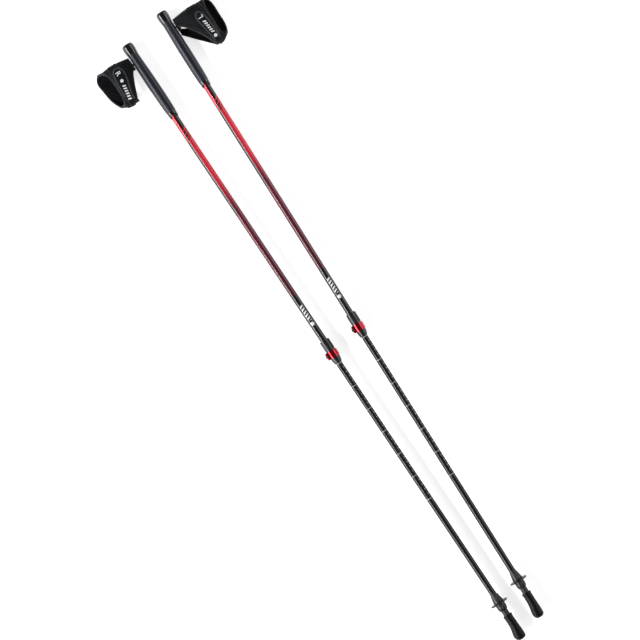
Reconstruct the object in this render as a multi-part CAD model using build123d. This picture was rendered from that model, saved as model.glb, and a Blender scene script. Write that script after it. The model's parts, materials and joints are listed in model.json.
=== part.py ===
from build123d import *
import os
from math import atan2, cos, degrees, radians, sin, tan

# A pair of two-section walking poles with glove straps, lying side by side on a flat surface.
#
# Each pole is drawn in its own frame: the origin is the middle of the crown's top, +Z points out
# of the crown, and -Y is the side that faces up when the pole lies down. A "station" is a
# distance from the crown along the pole, so it is at z = -station. All sizes are millimetres.

# ---- the pair --------------------------------------------------------------------------------
POLE_LENGTH = 1312.0        # crown to boot sole, at the longest mark
HEAD_SPACING = 85.0         # between the two axes at the crowns
TIP_SPACING = 49.9          # and at the boots: the poles converge a little
POLE_STAGGER = 15.6         # how far the left pole lies towards the head end
SET_SHIFT = (-0.78, 655.91)  # puts the middle of the pair's outline over the origin
FIT = 0.05                  # radial clearance of a running fit
GAP = 0.3                   # clearance between pieces that only pass each other
OVERLAP = 0.5               # how far shapes that are joined or cut run into each other
WIDE = 20.0                 # half size of cutting shapes that reach past a pole's sides
BEYOND = 150.0              # and of those that reach past a whole strap

# ---- head and grip ---------------------------------------------------------------------------
CROWN_R = 11.2              # the widest part of the crown, which the head end rests on
CROWN_STATION = 9.5
NECK_R = 9.5
PALM_R = 10.4
ARCH_STATION = 32.0         # where the soft cover's arch meets the sides
ARCH_RISE = 12.0
CORE_R = 8.0
CORE_START = 14.0
COVER_END = 149.0
GRIP_END = 161.0
COLLAR_NOTCH = (5.6, 8.6)   # half width and depth of the collar's U notch
PANEL_SIZE = (8.0, 12.0)    # the recessed panel on the front of the crown
PANEL_START = 4.0
PANEL_CORNER = 2.5
PANEL_DEPTH = 0.9
BUTTON_R = 5.0
BUTTON_SUNK = 0.4           # its top lies this far under the crown's
BUTTON_EDGE = 0.8
BUTTON_HEIGHT = 5.8
BUTTON_STROKE = 2.5
STEM = (2.5, 6.0)           # the button's flat stem: thickness and width
STEM_END = 46.0
SPRING_R = 3.9
SPRING_WIRE = 0.8
SPRING_TURNS = 3.5

# ---- strap -----------------------------------------------------------------------------------
PLUG_STATION = 38.0
TONGUE = (4.0, 2.6)         # height along the pole and thickness
TONGUE_REACH = 3.8          # past the pole's axis
PLUG_BLOCK = (6.8, 20.0, 8.0)
PLUG_CORNER = 2.5
PLUG_INNER = 10.3           # the block's inner face, from the pole's axis
STRAP_PIN_R = 1.0
STRAP_PIN_INSET = 0.5
CUFF_THICK = 3.2
TAB_THICK = 1.8
TAB_SPREAD = 40.0           # half the angle that the tab covers on the cuff's end
WEB_OFFSET = 2.2            # from the middle plane to each web, at the plug

# ---- shafts ----------------------------------------------------------------------------------
UPPER_OD = 14.0
UPPER_ID = 12.6
UPPER_START = 62.0
UPPER_END = 684.0
LOWER_OD = UPPER_ID - 2 * FIT
LOWER_ID = 11.3
LOWER_START = 603.0
LOWER_END = 1212.0

# ---- flip lock -------------------------------------------------------------------------------
CLAMP_START = 654.0
LEVER_START = 676.3
LEVER_END = 690.7
CLAMP_END = 703.0
CLAMP_R = 9.4
WAIST_R = 8.6
PAD_X = (2.5, 9.8)          # the raised pad, on the side away from the ears
PAD_HALF = 5.4
PAD_INSET = 1.5
PAD_CORNER = 1.6
LEVER_R = (8.9, 10.6)       # inner and outer radius of the lever's arm
LEVER_ANGLES = (232.0, 352.0)
LEVER_LIP = 0.25            # the free end is this much thicker
LEVER_CORNER = 3.0          # seen from the front
LEVER_X = (-13.8, 11.2)
PIN_PLACE = (-11.2, -7.2)   # the lever's hinge pin, beside the pole
PIN_D = 2.2
BARREL_R = 2.5
EYE_R = 2.4
EYE_HEIGHT = 4.2
EYE_ROOM = (0.5, 0.2)       # round the eye and at its ends
BOLT_D = 3.0
BOLT_END = 8.6
EAR_X = (-13.6, -7.3)
EAR_DEPTH = 4.3             # how far each ear reaches to the front and back of the axis
EAR_INSET = 1.2
EAR_CORNER = 1.5
SPLIT = 1.6
SPLIT_START = 670.0
WASHER = (3.3, 0.6)         # radius and thickness
NUT_R = 3.4
NUT_END = 8.1
NUT_NOTCHES = 8
NUT_NOTCH_R = 0.6
NUT_NOTCH_AT = 3.6
COLLET_END = 702.0
COLLET_RING = 4.0           # the length that the collet's slots leave whole
COLLET_SLOTS = 4
COLLET_SLOT = 1.0
STOP_PLUG = (3.0, 18.0)     # the stop plug's rim, and its length inside the shaft

# ---- tip -------------------------------------------------------------------------------------
FERRULE_R = 6.5
FERRULE_ROOT = 30.0         # its length inside the shaft
BASKET_START = 1216.0
BASKET_DISC = 1233.0
BASKET_END = 1249.0
BASKET_R = 17.3
BASKET_PETALS = 12
PETAL_NOTCH_R = 1.7
PETAL_NOTCH_AT = 17.8
FLUTES = 8
FLUTE_R = 1.3
FLUTE_TILT = 5.5
FLUTE_AT = 9.15             # from the axis to a flute's own axis, halfway along it
FLUTE_STATIONS = (1214.5, 1231.5)
LUG_GAP_R = 1.5
LUG_GAP_AT = 9.9
LUG_START = 1237.5
BOOT_START = 1260.0
BOOT_TURNS = {"right": 0.0, "left": 40.0}
TIP_START = 1274.0
TIP_END = 1300.0
TIP_R = 2.5
TIP_RIM_R = 1.8
TIP_TAPER = 5.0
TIP_CUP_DEPTH = 0.7
BOOT_WASHER = (5.0, 1.5)    # radius and thickness
BOOT_WASHER_START = 1300.6
GROOVES = 4                 # across the boot's heel
GROOVE_START = 1291.0
GROOVE_PITCH = 4.6
GROOVE_WIDTH = 1.3
GROOVE_FLOOR_R = 10.4
GROOVE_FLOOR_STEP = 0.35    # each groove away from the third follows the heel's curve in
HEEL_X = -2.0               # the middle of the heel's curve
HEEL_EDGE = -9.0

GRIP_OUTLINE = [            # radius and station down the whole grip
    (8.2, 0.0),
    (9.9, 1.2),
    (10.9, 4.5),
    (CROWN_R, CROWN_STATION),
    (10.75, 16.0),
    (9.9, 23.0),
    (NECK_R, 30.0),
    (9.6, 40.0),
    (10.1, 60.0),
    (PALM_R, 85.0),
    (10.35, 110.0),
    (10.0, 131.0),
    (9.3, COVER_END),
]
COLLAR_OUTLINE = [
    (9.2, COVER_END),
    (9.0, COVER_END + 3.0),
    (8.6, GRIP_END - 1.0),
    (8.2, GRIP_END),
]
NOSE_SECTIONS = [           # x of the middle, station and radius
    (0.2, LEVER_END + GAP, 9.5),
    (0.1, LEVER_END + 3.8, 9.2),
    (0.0, CLAMP_END, 7.2),
]
FERRULE_OUTLINE = [
    (FERRULE_R, LOWER_END),
    (FERRULE_R, BOOT_START + 4.0),
    (4.4, TIP_START + 12.0),
    (4.0, TIP_START + 14.0),
]
HUB_OUTLINE = [
    (FERRULE_R + FIT, BASKET_START),
    (7.3, BASKET_START),
    (10.0, BASKET_DISC - 2.0),
    (9.2, BASKET_DISC + 2.0),
    (9.3, BASKET_END - 5.0),
    (8.0, BASKET_END),
    (FERRULE_R + FIT, BASKET_END),
]
DISC_OUTLINE = [
    (9.0, BASKET_DISC - 1.2),
    (BASKET_R - 1.0, BASKET_DISC - 0.4),
    (BASKET_R, BASKET_DISC + 0.6),
    (BASKET_R - 0.4, BASKET_DISC + 1.9),
    (9.0, BASKET_DISC + 1.3),
]
BOOT_COLLAR_OUTLINE = [
    (0.0, BOOT_START),
    (8.3, BOOT_START),
    (9.0, BOOT_START + 0.8),
    (9.0, BOOT_START + 3.4),
    (8.4, BOOT_START + 4.5),
    (0.0, BOOT_START + 4.5),
]
BOOT_SECTIONS = [           # station, half sizes in x and y, and x of the middle
    (BOOT_START + 4.5, 8.4, 8.4, 0.0),
    (1270.0, 8.4, 8.4, 0.0),
    (1276.0, 8.5, 8.5, 0.0),
    (1282.0, 8.7, 8.7, -0.15),
    (1287.0, 9.1, 8.9, -0.45),
    (1292.0, 9.8, 9.2, -1.0),
    (1297.0, 10.5, 9.4, -1.6),
    (1303.5, 10.7, 9.5, -1.8),
    (1308.5, 9.4, 8.3, -1.1),
    (1311.2, 6.9, 6.0, -0.7),
    (POLE_LENGTH, 4.6, 4.2, -0.6),
]


# ---- shapes that repeat ----------------------------------------------------------------------
def rod(radius, start, end, x=0.0, y=0.0):
    """A round bar along the pole, between two stations."""
    return Pos(x, y, -(start + end) / 2) * Cylinder(radius, end - start)


def block(x, y, stations):
    """A box from two x, two y and two station limits."""
    size = (x[1] - x[0], y[1] - y[0], stations[1] - stations[0])
    middle = ((x[0] + x[1]) / 2, (y[0] + y[1]) / 2, -(stations[0] + stations[1]) / 2)
    return Pos(*middle) * Box(*size)


def tube(outer_r, inner_r, start, end):
    return rod(outer_r, start, end) - rod(inner_r, start - OVERLAP, end + OVERLAP)


def turned(*outline):
    """A solid turned about the pole's axis, from straight runs between (radius, station)."""
    corners = [(r, 0, -s) for r, s in outline]
    return revolve(make_face(Polyline(*corners, close=True)), Axis.Z)


def turned_smooth(outline, end_r=0.0):
    """The same, with a smooth outer side that closes on the axis or on a bore."""
    side = Spline(*[(r, 0, -s) for r, s in outline])
    first = (end_r, 0, -outline[0][1])
    last = (end_r, 0, -outline[-1][1])
    closing = Polyline(side @ 1, last, first, side @ 0)
    return revolve(make_face([side, *closing.edges()]), Axis.Z)


def prism(face, start, end):
    """A flat shape in the plane across the pole, drawn out between two stations."""
    return Pos(0, 0, -end) * extrude(face, amount=end - start)


def seen_from_front(face, depth):
    """A flat shape of x and -station, drawn out to both sides of the pole's middle plane."""
    return extrude(Plane.XZ * face, amount=depth, both=True)


def ellipse_at(station, half_x, half_y, x=0.0):
    return Pos(x, 0, -station) * Ellipse(half_x, half_y)


# ---- grip ------------------------------------------------------------------------------------
def cover_zone():
    """The part of the grip that the soft cover fills, under an arch at the front and back."""
    arch = Pos(0, -ARCH_STATION) * Ellipse(NECK_R, ARCH_RISE)
    below = Pos(0, -(ARCH_STATION + COVER_END) / 2) * Rectangle(2 * WIDE, COVER_END - ARCH_STATION)
    return seen_from_front(arch + below, WIDE)


def stem_slot():
    """The flat slot that the button's stem slides in."""
    half_x = STEM[0] / 2 + FIT
    half_y = STEM[1] / 2 + FIT
    stations = (CORE_START - OVERLAP, STEM_END + BUTTON_STROKE + OVERLAP)
    return block((-half_x, half_x), (-half_y, half_y), stations)


def plug_pocket(side):
    """The pocket for the strap plug's tongue, through the cover and into the core."""
    half_y = TONGUE[1] / 2 + GAP
    half_s = TONGUE[0] / 2 + GAP
    ends = sorted((side * WIDE, -side * (TONGUE_REACH + GAP)))
    return block(ends, (-half_y, half_y), (PLUG_STATION - half_s, PLUG_STATION + half_s))


def head_cap():
    body = turned_smooth(GRIP_OUTLINE) - cover_zone()
    body -= rod(WIDE, COVER_END - OVERLAP, GRIP_END)
    body -= rod(CORE_R, CORE_START, GRIP_END)
    body -= rod(BUTTON_R + FIT, -OVERLAP, CORE_START + OVERLAP)
    recess = Pos(0, -PANEL_START - PANEL_SIZE[1] / 2) * RectangleRounded(*PANEL_SIZE, PANEL_CORNER)
    front = block((-WIDE, WIDE), (-WIDE, PANEL_DEPTH - CROWN_R), (0, GRIP_END))
    return body - (seen_from_front(recess, WIDE) & front)


def grip_core(side):
    body = rod(CORE_R, CORE_START, COVER_END)
    body -= rod(UPPER_OD / 2, UPPER_START, COVER_END + OVERLAP)
    return body - stem_slot() - plug_pocket(side)


def grip_cover(side):
    body = turned_smooth(GRIP_OUTLINE) & cover_zone()
    body -= rod(CORE_R, 0, GRIP_END)
    return body - plug_pocket(side)


def grip_collar():
    half_width, depth = COLLAR_NOTCH
    body = turned((UPPER_OD / 2, COVER_END), *COLLAR_OUTLINE, (UPPER_OD / 2, GRIP_END))
    top = -(GRIP_END - depth + half_width)
    notch = Pos(0, top) * Circle(half_width)
    notch += Pos(0, top - depth) * Rectangle(2 * half_width, 2 * depth)
    return body - seen_from_front(notch, WIDE)


def release_button(side):
    """A round button with a flat stem. The stem's window lets the plug's tongue through."""
    top = rod(BUTTON_R, BUTTON_SUNK, BUTTON_HEIGHT)
    top = fillet(top.edges().group_by(Axis.Z)[-1], BUTTON_EDGE)
    stem = block(
        (-STEM[0] / 2, STEM[0] / 2),
        (-STEM[1] / 2, STEM[1] / 2),
        (BUTTON_HEIGHT - OVERLAP, STEM_END),
    )
    window = block(
        (-BUTTON_R, BUTTON_R),
        (-TONGUE[1] / 2 - GAP, TONGUE[1] / 2 + GAP),
        (PLUG_STATION - TONGUE[0] / 2 - BUTTON_STROKE - GAP, PLUG_STATION + TONGUE[0] / 2 + GAP),
    )
    return top + (stem - window)


def button_spring():
    """Turns of round wire between the button and the core."""
    length = CORE_START - BUTTON_HEIGHT - SPRING_WIRE
    path = Pos(0, 0, -CORE_START + SPRING_WIRE / 2) * Helix(length / SPRING_TURNS, length, SPRING_R)
    wire = Plane(origin=path @ 0, z_dir=path % 0) * Circle(SPRING_WIRE / 2)
    return sweep(wire, path=path, is_frenet=True)


# ---- strap -----------------------------------------------------------------------------------
def strap_plug(side):
    """The tongue that clicks into the grip, on the block that the webbing is sewn to."""
    tongue = block(
        sorted((side * (PLUG_INNER + OVERLAP), -side * TONGUE_REACH)),
        (-TONGUE[1] / 2, TONGUE[1] / 2),
        (PLUG_STATION - TONGUE[0] / 2, PLUG_STATION + TONGUE[0] / 2),
    )
    outer = PLUG_INNER + PLUG_BLOCK[0]
    body = block(
        sorted((side * PLUG_INNER, side * outer)),
        (-PLUG_BLOCK[2] / 2, PLUG_BLOCK[2] / 2),
        (PLUG_STATION - PLUG_BLOCK[1] / 2, PLUG_STATION + PLUG_BLOCK[1] / 2),
    )
    body = fillet(body.edges().filter_by(Axis.X), PLUG_CORNER)
    pin_x = side * (PLUG_INNER + PLUG_BLOCK[0] / 2)
    return tongue + body - rod(STRAP_PIN_R, 0, BEYOND, x=pin_x)


def strap_pin(side):
    pin_x = side * (PLUG_INNER + PLUG_BLOCK[0] / 2)
    half = PLUG_BLOCK[1] / 2 - STRAP_PIN_INSET
    return rod(STRAP_PIN_R, PLUG_STATION - half, PLUG_STATION + half, x=pin_x)


def cuff_loop(stations, heights, inset=0.0):
    """The cuff's flattened outline, seen along its own axis: y is minus the height."""
    length = stations[1] - stations[0] - 2 * inset
    width = heights[1] - heights[0] - 2 * inset
    middle = (-(heights[0] + heights[1]) / 2, -(stations[0] + stations[1]) / 2)
    return Plane.YZ * (Pos(*middle) * SlotOverall(length, width, rotation=90))


def strap_cuff(side, shape):
    """A flattened loop of band, its wrist end cut at a slant."""
    outer = extrude(cuff_loop(shape["stations"], shape["heights"]), amount=side * shape["reach"][1])
    inner = extrude(
        cuff_loop(shape["stations"], shape["heights"], CUFF_THICK), amount=side * shape["reach"][1]
    )
    near = block(sorted((0, side * shape["reach"][0])), (-BEYOND, BEYOND), (-BEYOND, BEYOND))
    slant_top, slant_low = shape["slant"]
    low_y = -shape["heights"][0]
    high_y = -shape["heights"][1]
    beyond = Polygon(
        (side * slant_top, high_y - OVERLAP),
        (side * BEYOND, high_y - OVERLAP),
        (side * BEYOND, low_y + OVERLAP),
        (side * slant_low, low_y + OVERLAP),
        align=None,
    )
    return outer - inner - near - prism(beyond, -BEYOND, BEYOND)


def strap_web(side, shape, name):
    """A tapering web from the plug's outer face to the cuff's edge."""
    near, far = shape[name + "_web"]
    low, high = shape["heights"]
    far_y = CUFF_THICK / 2 - high if name == "front" else -CUFF_THICK / 2 - low
    near_y = -WEB_OFFSET if name == "front" else WEB_OFFSET
    sections = []
    for x, (start, end), y in (
        (PLUG_INNER + PLUG_BLOCK[0], near, near_y),
        (shape["reach"][0], far, far_y),
    ):
        middle = (side * x, y, -(start + end) / 2)
        section = Plane(origin=middle, x_dir=(0, 1, 0), z_dir=(1, 0, 0))
        sections.append(section * Rectangle(CUFF_THICK, end - start))
    return loft(sections)


def strap_tab(side, shape):
    """The hook-and-loop tab, wrapped round the cuff's end on the tip side."""
    low, high = shape["heights"]
    end_r = (high - low) / 2
    spread = 2 * end_r * tan(radians(TAB_SPREAD))
    wedge = Polygon((0, 0), (-spread, -2 * end_r), (spread, -2 * end_r), align=None)
    arc = (Circle(end_r + TAB_THICK) - Circle(end_r)) & wedge
    middle = Pos(-(low + high) / 2, end_r - shape["stations"][1])
    start, end = shape["tab"]
    return Pos(side * start, 0, 0) * extrude(Plane.YZ * (middle * arc), amount=side * (end - start))


# Stations and heights are the cuff's outer limits. Reach is its limits outward from the pole, and
# slant is where its wrist end is cut, at the top and at the bottom. Each web has its stations at
# the plug and at the cuff.
STRAP_SHAPES = {
    "right": {
        "stations": (18.0, 99.0),
        "heights": (-11.0, 22.0),
        "reach": (38.0, 88.0),
        "slant": (60.0, 88.0),
        "tab": (44.0, 62.0),
        "front_web": ((27.0, 45.0), (23.0, 95.0)),
        "back_web": ((29.0, 47.0), (36.0, 84.0)),
    },
    "left": {
        "stations": (20.0, 107.0),
        "heights": (-11.0, 20.0),
        "reach": (44.0, 90.0),
        "slant": (77.0, 90.0),
        "tab": (60.0, 80.0),
        "front_web": ((27.0, 41.0), (22.0, 72.0)),
        "back_web": ((39.0, 53.0), (60.0, 98.0)),
    },
}


# ---- flip lock -------------------------------------------------------------------------------
def clamp_housing():
    sleeve = tube(CLAMP_R, UPPER_OD / 2, CLAMP_START, LEVER_START - GAP)
    pad = block(PAD_X, (-PAD_HALF, PAD_HALF), (CLAMP_START + PAD_INSET, LEVER_START - PAD_INSET))
    pad = fillet(pad.edges().filter_by(Axis.Z), PAD_CORNER)
    pad -= rod(UPPER_OD / 2, CLAMP_START, CLAMP_END)
    waist = tube(WAIST_R, UPPER_OD / 2, LEVER_START - GAP, LEVER_END + GAP)
    ears = block(EAR_X, (-EAR_DEPTH, EAR_DEPTH), (LEVER_START + EAR_INSET, LEVER_END - EAR_INSET))
    ears = fillet(ears.edges().filter_by(Axis.Y), EAR_CORNER)
    ears -= rod(WAIST_R - OVERLAP, CLAMP_START, CLAMP_END)
    nose = loft([Pos(x, 0, -station) * Circle(radius) for x, station, radius in NOSE_SECTIONS])
    nose -= rod(UPPER_OD / 2, CLAMP_START, COLLET_END)
    nose -= rod(UPPER_ID / 2, CLAMP_START, CLAMP_END + OVERLAP)
    split = block((-WIDE, -WAIST_R / 2), (-SPLIT / 2, SPLIT / 2), (SPLIT_START, CLAMP_END + OVERLAP))
    body = sleeve + pad + waist + ears + nose - split
    return body - cross_rod(BOLT_D / 2, -WIDE, WIDE)


def cross_rod(radius, low_y, high_y):
    """A round bar through the ears, from front to back."""
    middle = -(LEVER_START + LEVER_END) / 2
    bar = Rot(90, 0, 0) * Cylinder(radius, high_y - low_y)
    return Pos(PIN_PLACE[0], (low_y + high_y) / 2, middle) * bar


def clamp_collet():
    """The slotted liner between the housing and the lower shaft."""
    body = tube(UPPER_OD / 2, UPPER_ID / 2, UPPER_END, COLLET_END)
    slot = block((0, WIDE), (-COLLET_SLOT / 2, COLLET_SLOT / 2), (UPPER_END + COLLET_RING, CLAMP_END))
    for number in range(COLLET_SLOTS):
        body -= Rot(0, 0, 360 / COLLET_SLOTS * number) * slot
    return body


def lever_outline():
    """The lever seen along the pole: a barrel at the pin, and an arm round the front."""
    inner, outer = LEVER_R
    middle = (inner + outer) / 2
    start, end = (radians(angle) for angle in LEVER_ANGLES)
    wedge = Polygon(
        (0, 0),
        (WIDE * cos(start), WIDE * sin(start)),
        (0, -2 * WIDE),
        (WIDE * cos(end), WIDE * sin(end)),
        align=None,
    )
    arm = (Circle(outer) - Circle(inner)) & wedge
    root = Pos(middle * cos(start), middle * sin(start)) * Circle((outer - inner) / 2)
    barrel = Pos(*PIN_PLACE) * Circle(BARREL_R)
    bridge = make_hull([*root.edges(), *barrel.edges()])
    lip_r = (outer - inner) / 2 + LEVER_LIP
    lip = Pos(middle * cos(end) + LEVER_LIP, middle * sin(end)) * Circle(lip_r)
    return arm + bridge + lip - Circle(inner)


def clamp_lever():
    middle = (LEVER_START + LEVER_END) / 2
    size = (LEVER_X[1] - LEVER_X[0], LEVER_END - LEVER_START)
    rounded = Pos((LEVER_X[0] + LEVER_X[1]) / 2, -middle) * RectangleRounded(*size, LEVER_CORNER)
    body = prism(lever_outline(), LEVER_START, LEVER_END) & seen_from_front(rounded, WIDE)
    half = EYE_HEIGHT / 2 + EYE_ROOM[1]
    body -= rod(EYE_R + EYE_ROOM[0], middle - half, middle + half, *PIN_PLACE)
    return body - rod(PIN_D / 2 + FIT, CLAMP_START, CLAMP_END, *PIN_PLACE)


def lever_pin():
    return rod(PIN_D / 2, LEVER_START + GAP, LEVER_END - GAP, *PIN_PLACE)


def tension_bolt():
    """A bolt with an eye at the front end, which the lever's pin goes through."""
    middle = (LEVER_START + LEVER_END) / 2
    eye = rod(EYE_R, middle - EYE_HEIGHT / 2, middle + EYE_HEIGHT / 2, *PIN_PLACE)
    shank = cross_rod(BOLT_D / 2, PIN_PLACE[1], BOLT_END)
    return eye + shank - rod(PIN_D / 2, CLAMP_START, CLAMP_END, *PIN_PLACE)


def tension_washer():
    radius, thick = WASHER
    return cross_rod(radius, EAR_DEPTH, EAR_DEPTH + thick) - cross_rod(BOLT_D / 2, 0, WIDE)


def tension_nut():
    """A round nut with a notched rim."""
    body = cross_rod(NUT_R, EAR_DEPTH + WASHER[1] + FIT, NUT_END)
    middle = -(LEVER_START + LEVER_END) / 2
    for number in range(NUT_NOTCHES):
        angle = radians(360 / NUT_NOTCHES * number)
        x = PIN_PLACE[0] + NUT_NOTCH_AT * cos(angle)
        z = middle + NUT_NOTCH_AT * sin(angle)
        body -= Pos(x, 0, z) * (Rot(90, 0, 0) * Cylinder(NUT_NOTCH_R, 2 * WIDE))
    return body - cross_rod(BOLT_D / 2 + FIT, 0, WIDE)


# ---- shafts and tip --------------------------------------------------------------------------
def upper_shaft():
    return tube(UPPER_OD / 2, UPPER_ID / 2, UPPER_START, UPPER_END)


def lower_shaft():
    return tube(LOWER_OD / 2, LOWER_ID / 2, LOWER_START, LOWER_END)


def shaft_end_plug():
    rim = rod(LOWER_OD / 2, LOWER_START - STOP_PLUG[0], LOWER_START)
    return rim + rod(LOWER_ID / 2, LOWER_START, LOWER_START + STOP_PLUG[1])


def tip_ferrule():
    body = turned((0, LOWER_END), *FERRULE_OUTLINE, (0, FERRULE_OUTLINE[-1][1]))
    body += rod(LOWER_ID / 2, LOWER_END - FERRULE_ROOT, LOWER_END)
    return body - rod(TIP_R, TIP_START, TIP_END)


def carbide_tip():
    """A round hard tip with a shallow cup in its end, so that its rim bites."""
    body = turned(
        (0, TIP_START), (TIP_R, TIP_START), (TIP_R, TIP_END - TIP_TAPER), (TIP_RIM_R, TIP_END), (0, TIP_END)
    )
    return body - Pos(0, 0, TIP_CUP_DEPTH - TIP_RIM_R - TIP_END) * Sphere(TIP_RIM_R)


def basket():
    """A toothed disc on a hub. The hub's cone is fluted, and its lower end is cut into lugs."""
    hub = turned(*HUB_OUTLINE)
    disc = turned(*DISC_OUTLINE)
    notch = rod(PETAL_NOTCH_R, BASKET_START, BASKET_END, x=PETAL_NOTCH_AT)
    for petal in range(BASKET_PETALS):
        disc -= Rot(0, 0, 360 / BASKET_PETALS * (petal + 0.5) + 90) * notch
    start, end = FLUTE_STATIONS
    groove = Rot(0, -FLUTE_TILT, 0) * Cylinder(FLUTE_R, end - start)
    groove = Pos(FLUTE_AT, 0, -(start + end) / 2) * groove
    lug_gap = rod(LUG_GAP_R, LUG_START, BASKET_END + OVERLAP, x=LUG_GAP_AT)
    for flute in range(FLUTES):
        hub -= Rot(0, 0, 360 / FLUTES * flute) * (groove + lug_gap)
    return hub + disc


def rubber_boot(turn):
    """A foot-shaped boot: a collar, a leg, and a heel that swells to one side."""
    leg = loft([ellipse_at(*section) for section in BOOT_SECTIONS])
    body = leg + turned(*BOOT_COLLAR_OUTLINE)
    bore = [(radius + FIT, station) for radius, station in FERRULE_OUTLINE]
    end = bore[-1][1] + GAP
    body -= turned((0, LOWER_END), *bore, (bore[-1][0], end), (0, end))
    body -= rod(TIP_R + FIT, TIP_START, BOOT_WASHER_START)
    body -= boot_washer()
    for number in range(GROOVES):
        station = GROOVE_START + GROOVE_PITCH * number
        floor_r = GROOVE_FLOOR_R - GROOVE_FLOOR_STEP * abs(number - 2)
        heel = block((-WIDE, HEEL_EDGE), (-WIDE, WIDE), (station, station + GROOVE_WIDTH))
        body -= heel - rod(floor_r, TIP_START, POLE_LENGTH, x=HEEL_X)
    return Rot(0, 0, turn) * body


def boot_washer():
    radius, thick = BOOT_WASHER
    return rod(radius, BOOT_WASHER_START, BOOT_WASHER_START + thick)


# ---- laying the poles down -------------------------------------------------------------------
def lay_down(side):
    """Where a pole's own frame lies: head end low on its crown, tip end high on its basket."""
    rise = degrees(atan2(BASKET_R - CROWN_R, BASKET_DISC - CROWN_STATION))
    converge = degrees(atan2((HEAD_SPACING - TIP_SPACING) / 2, POLE_LENGTH))
    crown_height = CROWN_R - CROWN_STATION * (BASKET_R - CROWN_R) / (BASKET_DISC - CROWN_STATION)
    along = SET_SHIFT[1] + side * POLE_STAGGER / 2
    place = Pos(side * HEAD_SPACING / 2 + SET_SHIFT[0], along, crown_height)
    return place * Rot(0, 0, -side * converge) * Rot(-90 - rise, 0, 0)


def pole_parts(side, hand):
    """Every piece of one pole, in the pole's own frame."""
    shape = STRAP_SHAPES[hand]
    return {
        "head_cap": head_cap(),
        "release_button": release_button(side),
        "button_spring": button_spring(),
        "grip_core": grip_core(side),
        "grip_cover": grip_cover(side),
        "grip_collar": grip_collar(),
        "strap_plug": strap_plug(side),
        "strap_pin": strap_pin(side),
        "strap_front_web": strap_web(side, shape, "front"),
        "strap_back_web": strap_web(side, shape, "back"),
        "strap_cuff": strap_cuff(side, shape),
        "strap_tab": strap_tab(side, shape),
        "upper_shaft": upper_shaft(),
        "clamp_housing": clamp_housing(),
        "clamp_collet": clamp_collet(),
        "clamp_lever": clamp_lever(),
        "lever_pin": lever_pin(),
        "tension_bolt": tension_bolt(),
        "tension_washer": tension_washer(),
        "tension_nut": tension_nut(),
        "lower_shaft": lower_shaft(),
        "shaft_end_plug": shaft_end_plug(),
        "tip_ferrule": tip_ferrule(),
        "carbide_tip": carbide_tip(),
        "basket": basket(),
        "rubber_boot": rubber_boot(BOOT_TURNS[hand]),
        "boot_washer": boot_washer(),
    }


def main():
    os.makedirs("parts", exist_ok=True)
    for side, hand in ((-1, "right"), (1, "left")):
        place = lay_down(side)
        for name, solid in pole_parts(side, hand).items():
            export_step(place * solid, f"parts/{hand}_{name}.step")


main()
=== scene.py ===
import json
import math

import bmesh
import bpy
import numpy as np
from mathutils import Matrix, Vector
from mathutils.bvhtree import BVHTree


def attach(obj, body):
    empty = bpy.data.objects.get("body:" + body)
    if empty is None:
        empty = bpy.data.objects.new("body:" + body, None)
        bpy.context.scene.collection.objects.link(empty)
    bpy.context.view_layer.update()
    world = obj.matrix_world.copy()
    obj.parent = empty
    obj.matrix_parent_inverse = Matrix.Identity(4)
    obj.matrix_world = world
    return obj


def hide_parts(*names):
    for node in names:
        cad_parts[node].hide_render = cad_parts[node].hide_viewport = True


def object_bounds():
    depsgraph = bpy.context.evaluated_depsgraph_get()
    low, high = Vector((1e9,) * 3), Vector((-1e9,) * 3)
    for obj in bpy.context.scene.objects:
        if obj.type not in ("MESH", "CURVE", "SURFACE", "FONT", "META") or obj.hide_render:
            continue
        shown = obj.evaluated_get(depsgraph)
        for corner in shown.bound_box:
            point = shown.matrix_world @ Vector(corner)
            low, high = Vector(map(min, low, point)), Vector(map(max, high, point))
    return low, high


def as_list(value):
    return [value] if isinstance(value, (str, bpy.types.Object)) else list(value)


# Two walking poles with hand straps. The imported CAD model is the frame, and this script adds the
# straps' real fabric, the prints and the materials. Lengths along a pole are millimetres in the
# pole's own frame, as in the CAD source: x to the right, -y up, and a "station" is the distance
# from the crown. A strap's points are (out, station, height), where out is away from its pole.

MM = 0.001
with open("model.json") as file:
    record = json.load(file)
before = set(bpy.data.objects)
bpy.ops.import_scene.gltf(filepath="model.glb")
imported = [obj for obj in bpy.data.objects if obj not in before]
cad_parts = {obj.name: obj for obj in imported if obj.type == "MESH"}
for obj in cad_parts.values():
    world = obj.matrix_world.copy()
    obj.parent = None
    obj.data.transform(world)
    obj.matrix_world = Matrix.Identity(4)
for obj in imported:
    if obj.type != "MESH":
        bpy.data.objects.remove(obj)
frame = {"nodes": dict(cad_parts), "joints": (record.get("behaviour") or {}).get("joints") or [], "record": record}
cad_bounds = [list(corner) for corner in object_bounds()]

CROWN_MARK_OUT = 6.6  # the crown_top mount is this far from the pole's axis


class Pole:
    """One pole's own frame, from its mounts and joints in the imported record."""

    def __init__(self, hand):
        joints = {joint["name"]: joint for joint in frame["joints"]}
        mounts = {mount["name"]: mount for mount in frame["record"]["mounts"]}
        self.hand = hand
        self.side = -1 if hand == "right" else 1
        self.z = Vector(joints[hand + "_telescope"]["axis"])
        self.x = Vector(joints[hand + "_strap_pull"]["axis"]) * self.side
        self.y = self.z.cross(self.x)
        crown = Vector(mounts[hand + "_crown_top"]["pos_m"])
        self.origin = crown - self.x * (CROWN_MARK_OUT * MM)
        turn = Matrix((self.x, self.y, self.z)).transposed().to_4x4()
        self.matrix = Matrix.Translation(self.origin) @ turn

    def at(self, out, station, height):
        local = self.x * (self.side * out) - self.y * height - self.z * station
        return self.origin + local * MM


POLES = {hand: Pole(hand) for hand in ("right", "left")}


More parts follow.
